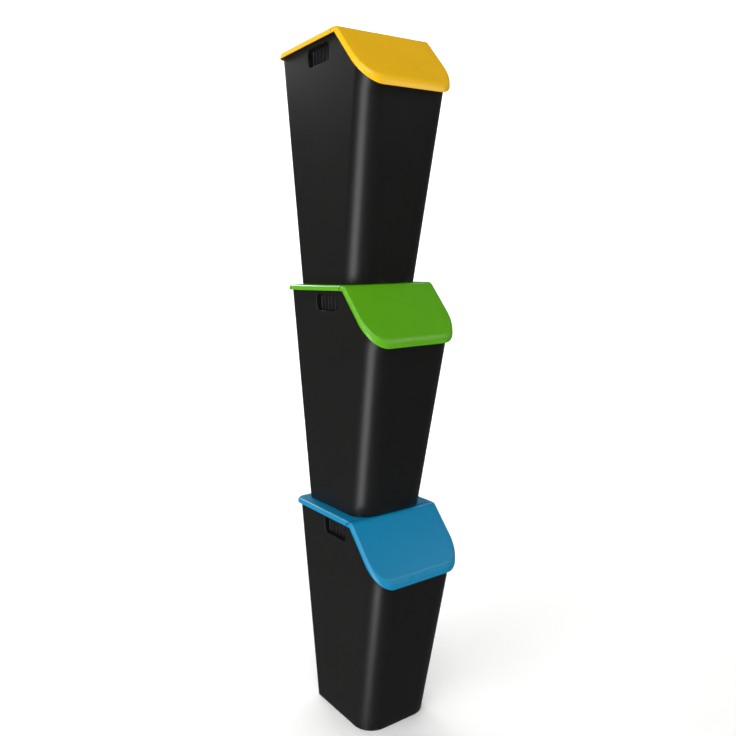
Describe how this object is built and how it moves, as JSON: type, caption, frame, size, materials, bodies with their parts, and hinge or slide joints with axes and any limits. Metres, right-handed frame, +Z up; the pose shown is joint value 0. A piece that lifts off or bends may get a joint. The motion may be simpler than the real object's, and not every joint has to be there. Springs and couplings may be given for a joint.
{
  "type": "recycling bin station",
  "caption": "Stack of tapered waste bins, each with a deck that carries the bin above and a sloped flap that lifts to let waste in.",
  "frame": {"origin": "on the floor, under the middle of the lids' outline", "axes": "+Z up the stack, +X to the right as seen from the front, the flaps face -Y"},
  "size_m": [0.208, 0.304, 1.3535],
  "materials": {
    "black_plastic": "satin moulded polypropylene",
    "yellow_plastic": "satin moulded polypropylene",
    "green_plastic": "satin moulded polypropylene",
    "blue_plastic": "satin moulded polypropylene",
    "pin_steel": "drawn wire"
  },
  "bodies": {
    "bottom_bin": {"bottom_bin": "black_plastic"},
    "bottom_lid": {"bottom_deck": "blue_plastic", "bottom_pin_left": "pin_steel", "bottom_pin_right": "pin_steel"},
    "bottom_flap": {"bottom_flap": "blue_plastic"},
    "middle_bin": {"middle_bin": "black_plastic"},
    "middle_lid": {"middle_deck": "green_plastic", "middle_pin_left": "pin_steel", "middle_pin_right": "pin_steel"},
    "middle_flap": {"middle_flap": "green_plastic"},
    "top_bin": {"top_bin": "black_plastic"},
    "top_lid": {"top_deck": "yellow_plastic", "top_pin_left": "pin_steel", "top_pin_right": "pin_steel"},
    "top_flap": {"top_flap": "yellow_plastic"}
  },
  "joints": [
    {"name": "bottom_lid_lift", "type": "slide", "parent": "bottom_bin", "child": "bottom_lid", "axis": [0, 0, 1], "range_m": [0, 0.15]},
    {"name": "bottom_flap_hinge", "type": "hinge", "parent": "bottom_lid", "child": "bottom_flap", "pos_m": [0, -0.06057, 0.438], "axis": [-1, 0, 0], "range_deg": [0, 48]},
    {"name": "middle_bin_lift", "type": "slide", "parent": "bottom_lid", "child": "middle_bin", "axis": [0, 0, 1], "range_m": [0, 0.15]},
    {"name": "middle_lid_lift", "type": "slide", "parent": "middle_bin", "child": "middle_lid", "axis": [0, 0, 1], "range_m": [0, 0.15]},
    {"name": "middle_flap_hinge", "type": "hinge", "parent": "middle_lid", "child": "middle_flap", "pos_m": [0, -0.06057, 0.888], "axis": [-1, 0, 0], "range_deg": [0, 48]},
    {"name": "top_bin_lift", "type": "slide", "parent": "middle_lid", "child": "top_bin", "axis": [0, 0, 1], "range_m": [0, 0.15]},
    {"name": "top_lid_lift", "type": "slide", "parent": "top_bin", "child": "top_lid", "axis": [0, 0, 1], "range_m": [0, 0.15]},
    {"name": "top_flap_hinge", "type": "hinge", "parent": "top_lid", "child": "top_flap", "pos_m": [0, -0.06057, 1.338], "axis": [-1, 0, 0], "range_deg": [0, 48]}
  ]
}
